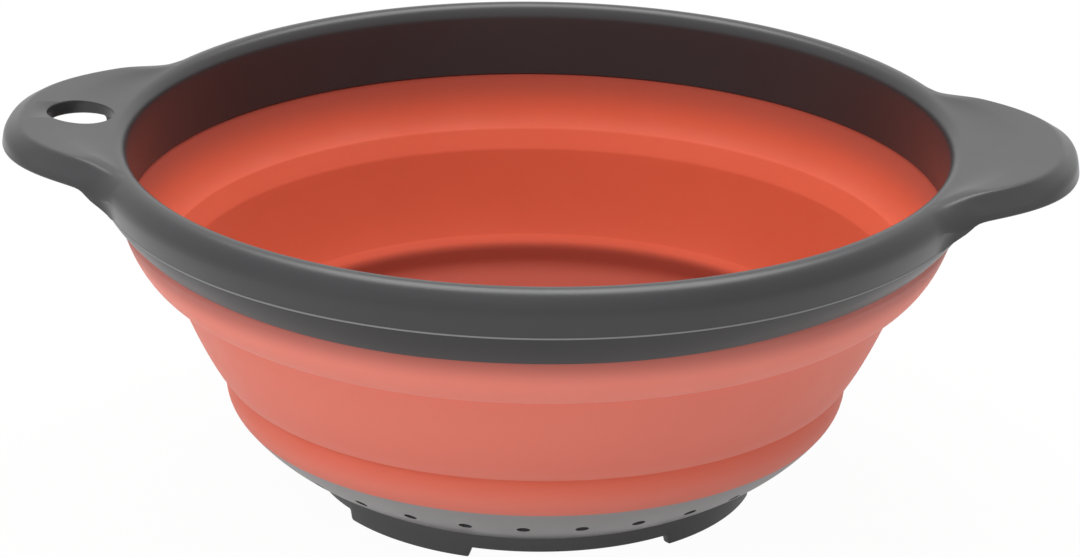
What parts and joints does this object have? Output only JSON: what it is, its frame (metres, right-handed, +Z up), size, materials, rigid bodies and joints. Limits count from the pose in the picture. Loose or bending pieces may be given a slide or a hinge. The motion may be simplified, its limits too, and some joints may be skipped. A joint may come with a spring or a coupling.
{
  "type": "collapsible colander",
  "caption": "Round two-handled colander with a hard rim, a silicone wall that folds down flat in a telescope of bands, and a drained base on feet.",
  "frame": {"origin": "on the floor under the middle of the bowl, at the level of the bottom of the feet", "axes": "+X towards the plain handle and -X towards the handle with the hanging hole, +Z up through the open mouth"},
  "size_m": [0.2908, 0.2392, 0.0995],
  "materials": {
    "dark_plastic": "satin moulded dark grey plastic",
    "silicone": "matte orange silicone"
  },
  "bodies": {
    "base": {"base_bowl": "dark_plastic", "drain_floor": "dark_plastic", "wall_lower_band": "silicone"},
    "middle": {"wall_middle_band": "silicone"},
    "rim": {"rim_frame": "dark_plastic", "rim_ring": "dark_plastic", "wall_upper_band": "silicone"}
  },
  "joints": [
    {"name": "rim_slide", "type": "slide", "parent": "base", "child": "rim", "axis": [0, 0, -1], "range_m": [0, 0.055]},
    {"name": "middle_slide", "type": "slide", "parent": "base", "child": "middle", "axis": [0, 0, -1], "range_m": [0, 0.0275]}
  ],
  "couplings": [
    {"joint": "middle_slide", "follows": "rim_slide", "ratio": 0.5}
  ]
}
